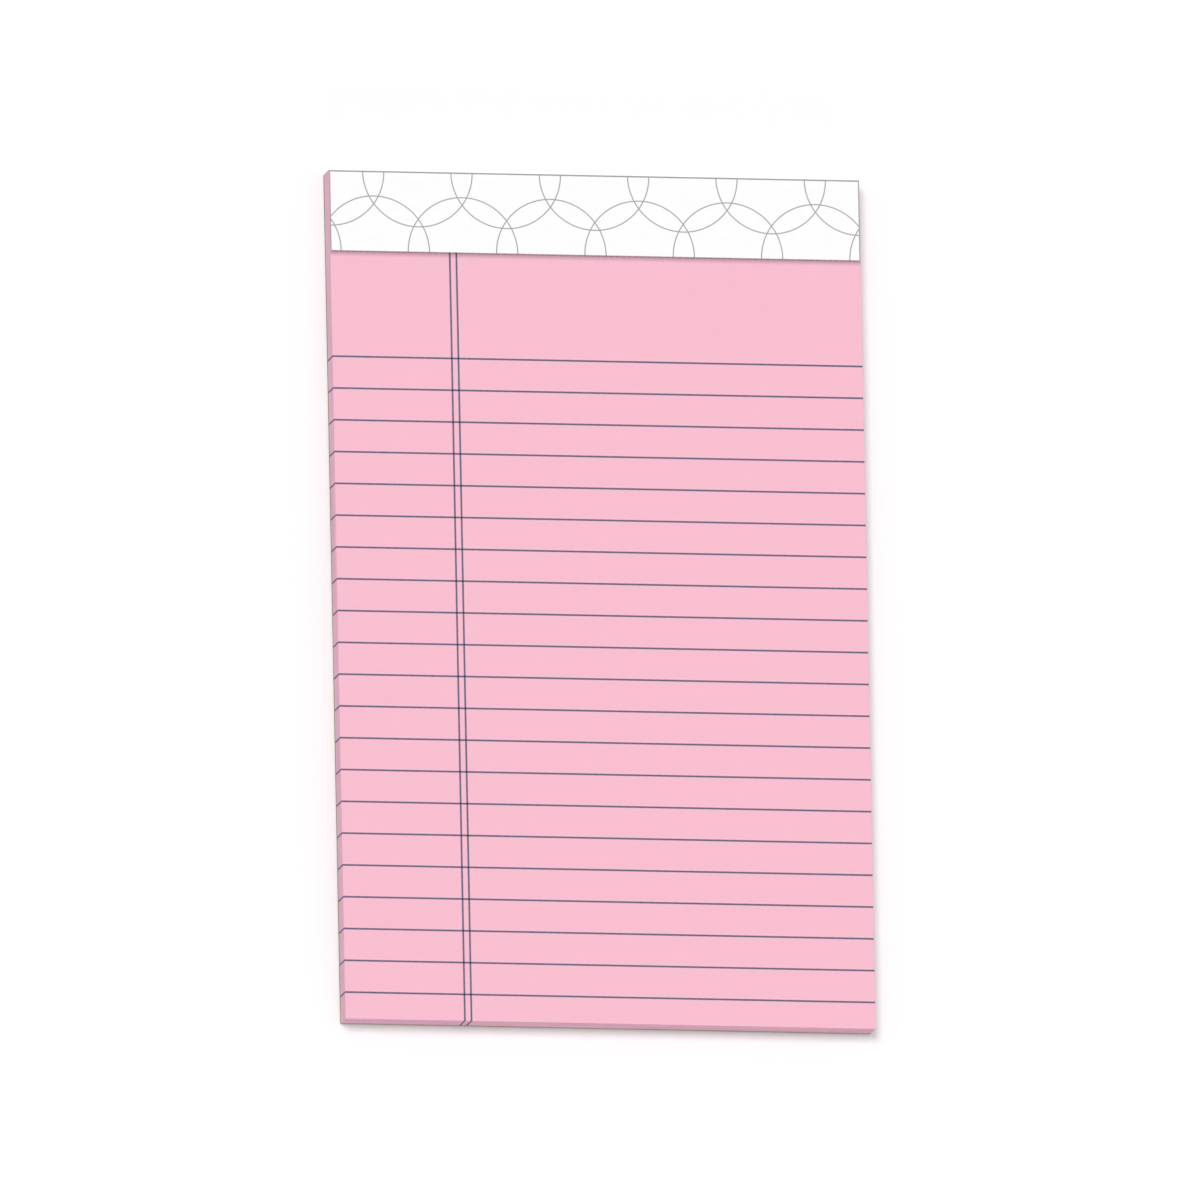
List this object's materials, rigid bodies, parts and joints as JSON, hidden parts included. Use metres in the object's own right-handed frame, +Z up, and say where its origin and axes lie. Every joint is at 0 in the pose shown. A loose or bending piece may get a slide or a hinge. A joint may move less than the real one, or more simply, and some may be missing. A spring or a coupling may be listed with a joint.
{
  "type": "legal pad",
  "caption": "Small legal pad: a stack of pink ruled leaves on a chipboard back, wire stitched through the head under a folded white binding tape.",
  "frame": {"origin": "centre of the footprint, on the surface that the pad lies on", "axes": "+X across the pad to the right, +Y towards the bound head, +Z up through the leaves"},
  "size_m": [0.127, 0.2034, 0.0069],
  "materials": {
    "ruled_paper": "matte, uncoated, pink",
    "tape_paper": "smooth white with a fine grey line pattern",
    "chipboard": "matte, recycled grey-brown",
    "steel_wire": "drawn, galvanised"
  },
  "bodies": {
    "root": {"page_block": "ruled_paper", "binding_tape": "tape_paper", "backing_board": "chipboard", "wire_stitches": "steel_wire"}
  },
  "joints": []
}
